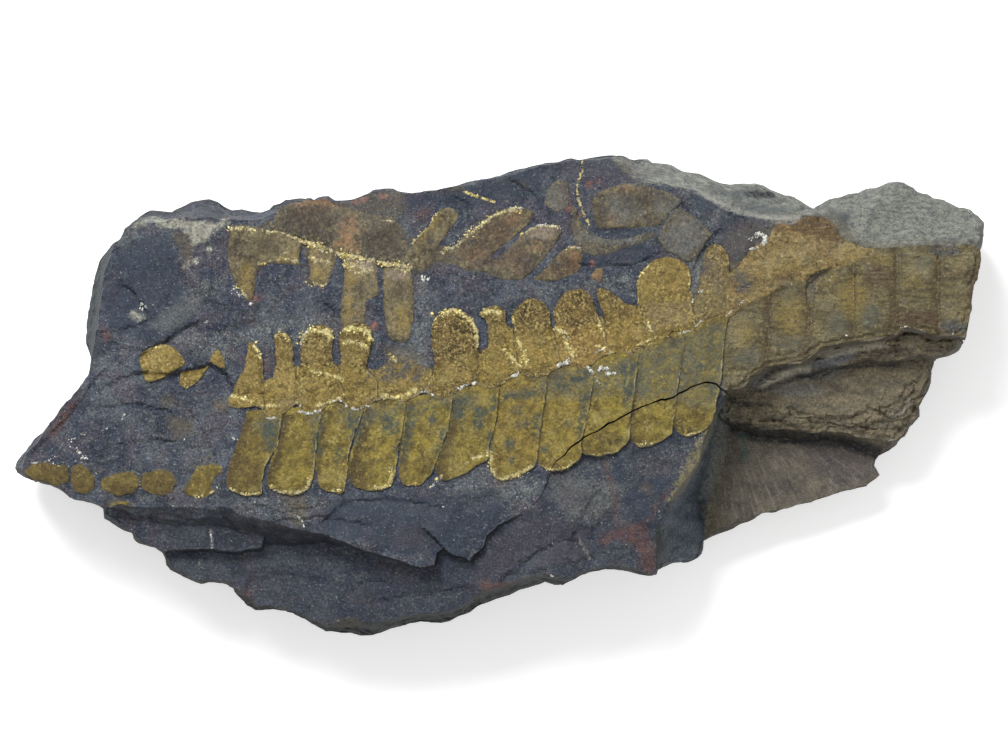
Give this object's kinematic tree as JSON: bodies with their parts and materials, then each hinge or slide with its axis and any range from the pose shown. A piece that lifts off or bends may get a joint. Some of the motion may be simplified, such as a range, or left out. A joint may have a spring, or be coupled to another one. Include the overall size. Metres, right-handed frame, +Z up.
{
  "type": "fossil bennettite leaf plate",
  "caption": "Flat slab of dark laminated shale with the mustard-brown fossil fronds of a bennettite on its broken upper face.",
  "frame": {"origin": "under the middle of the slab, on the flat face that it rests on", "axes": "+X along the slab towards its squarer, brown end, +Y towards the edge with the second frond, +Z up out of the face with the leaves"},
  "size_m": [0.1822, 0.0904, 0.0278],
  "materials": {
    "fossil_shale": "matt, fine-grained shale, blue-grey to brown, with an ochre leaf film"
  },
  "bodies": {
    "root": {"fossil_slab": "fossil_shale"}
  },
  "joints": []
}
